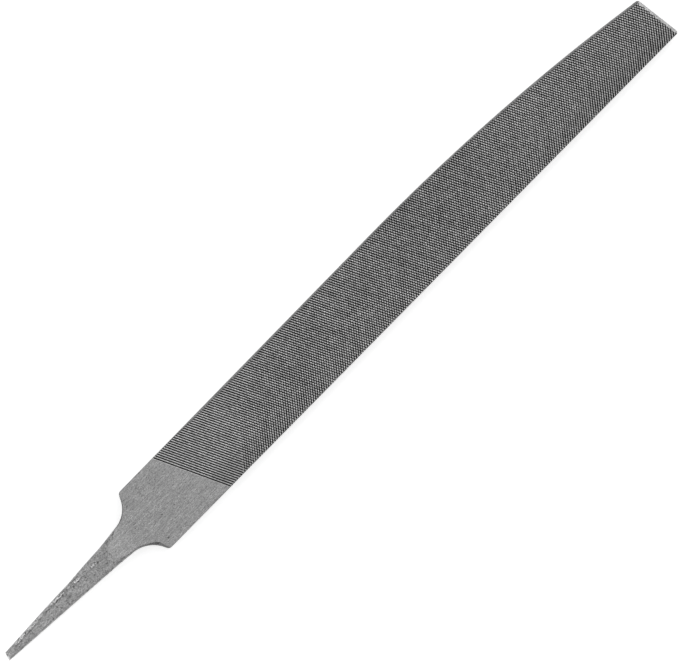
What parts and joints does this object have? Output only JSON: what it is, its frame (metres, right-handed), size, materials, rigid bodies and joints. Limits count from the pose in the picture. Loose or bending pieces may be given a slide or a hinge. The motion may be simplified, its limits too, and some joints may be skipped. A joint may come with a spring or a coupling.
{
  "type": "flat file",
  "caption": "Double-cut flat file: a long steel blade with one bellied edge, a smooth ground heel, and a tapered tang for a push-on handle.",
  "frame": {"origin": "on the blade's axis, level with the front of the shoulders, in the middle of the blade's thickness; a handle's ferrule stops just behind it", "axes": "+X along the blade from the tang to the point, +Y towards the bellied edge, +Z out of the upper face"},
  "size_m": [0.2558, 0.0221, 0.005],
  "materials": {
    "file_steel": "hardened tool steel: matt cut teeth, fine-ground heel, forged tang"
  },
  "bodies": {
    "root": {"blade_and_tang": "file_steel"}
  },
  "joints": []
}
